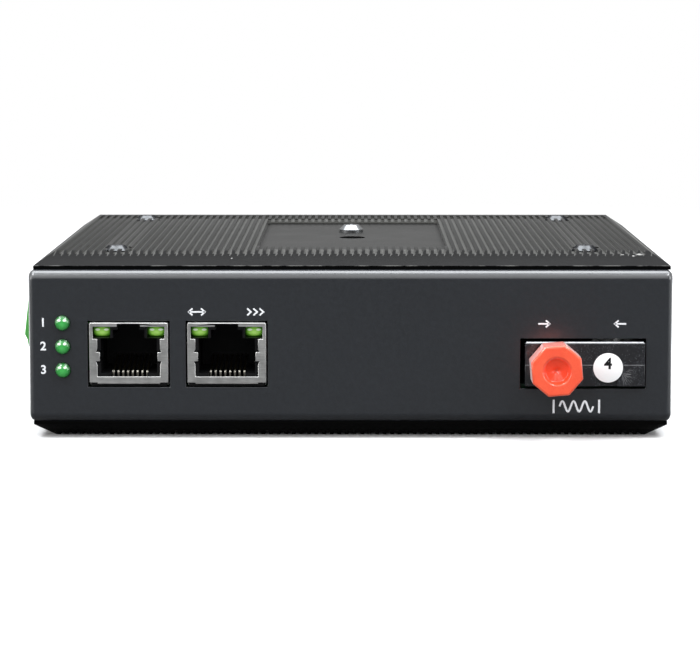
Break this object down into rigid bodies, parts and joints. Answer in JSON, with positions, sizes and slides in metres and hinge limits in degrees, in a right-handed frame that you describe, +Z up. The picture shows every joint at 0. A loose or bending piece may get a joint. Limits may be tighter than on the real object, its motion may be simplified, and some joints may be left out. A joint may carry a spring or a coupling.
{
  "type": "fibre media converter",
  "caption": "Rail-mount industrial fibre to copper media converter with ribbed covers, modular jacks, a capped fibre port and a pluggable power terminal.",
  "frame": {"origin": "middle of the footprint of the whole unit, on the plane that it lies on", "axes": "+X to the right of the port panel as seen from the front, +Y from the port panel to the rear, +Z up; the port panel faces -Y"},
  "size_m": [0.1412, 0.1254, 0.04],
  "materials": {
    "panel_coat": "fine-grained dark grey powder coat",
    "cover_coat": "satin dark grey coat over a casting",
    "bright_steel": "bright plated steel",
    "plated_brass": "nickel plated brass",
    "board_laminate": "green solder mask",
    "bare_aluminium": "machined",
    "soft_pad": "soft filled silicone",
    "chip_resin": "moulded resin",
    "can_sleeve": "shrink sleeve",
    "green_lens": "tinted clear lens",
    "lamp_lens": "tinted clear light pipe",
    "black_plastic": "moulded",
    "ceramic_white": "ground ceramic",
    "cap_red": "soft moulded",
    "terminal_green": "moulded",
    "clip_metal": "extruded, clear anodised",
    "latch_plastic": "moulded nylon",
    "spring_steel": "blued strip",
    "jack_tin": "tin plated sheet",
    "contact_gold": "gold plated"
  },
  "bodies": {
    "chassis": {"body_frame": "panel_coat", "rear_panel": "panel_coat", "top_cover": "cover_coat", "bottom_cover": "cover_coat", "cover_screws": "bright_steel", "spreader_screws": "bright_steel", "rear_panel_screws": "bright_steel", "cover_nuts": "bright_steel", "board_posts": "plated_brass", "board_screws": "bright_steel", "main_board": "board_laminate", "heat_spreader": "bare_aluminium", "thermal_pad": "soft_pad", "switch_chip": "chip_resin", "small_chips": "chip_resin", "magnetics": "chip_resin", "capacitors": "can_sleeve", "power_inductor": "chip_resin", "crystal_can": "bright_steel", "status_lamps": "green_lens", "lamp_holder": "black_plastic", "transceiver_base": "black_plastic", "transceiver_hood": "black_plastic", "transceiver_pins": "plated_brass", "fibre_barrel": "plated_brass", "ferrule_sleeve": "ceramic_white", "terminal_header": "terminal_green", "terminal_pins": "bright_steel", "rail_bracket": "clip_metal", "latch_spring": "spring_steel", "bracket_screws": "bright_steel", "jack_shield_1": "jack_tin", "jack_body_1": "black_plastic", "jack_contacts_1": "contact_gold", "jack_lamps_1": "lamp_lens", "jack_shield_2": "jack_tin", "jack_body_2": "black_plastic", "jack_contacts_2": "contact_gold", "jack_lamps_2": "lamp_lens"},
    "cap": {"dust_cap": "cap_red"},
    "plug": {"terminal_plug": "terminal_green", "terminal_cages": "bright_steel", "terminal_screws": "bright_steel"},
    "latch": {"rail_latch": "latch_plastic"}
  },
  "joints": [
    {"name": "cap_pull", "type": "slide", "parent": "chassis", "child": "cap", "axis": [0, -1, 0], "range_m": [0, 0.012]},
    {"name": "plug_pull", "type": "slide", "parent": "chassis", "child": "plug", "axis": [-1, 0, 0], "range_m": [0, 0.014]},
    {"name": "latch_slide", "type": "slide", "parent": "chassis", "child": "latch", "axis": [-1, 0, 0], "range_m": [0, 0.0045], "stiffness_N_per_m": 300, "springref_m": -0.004, "deforming": ["latch_spring"]}
  ]
}
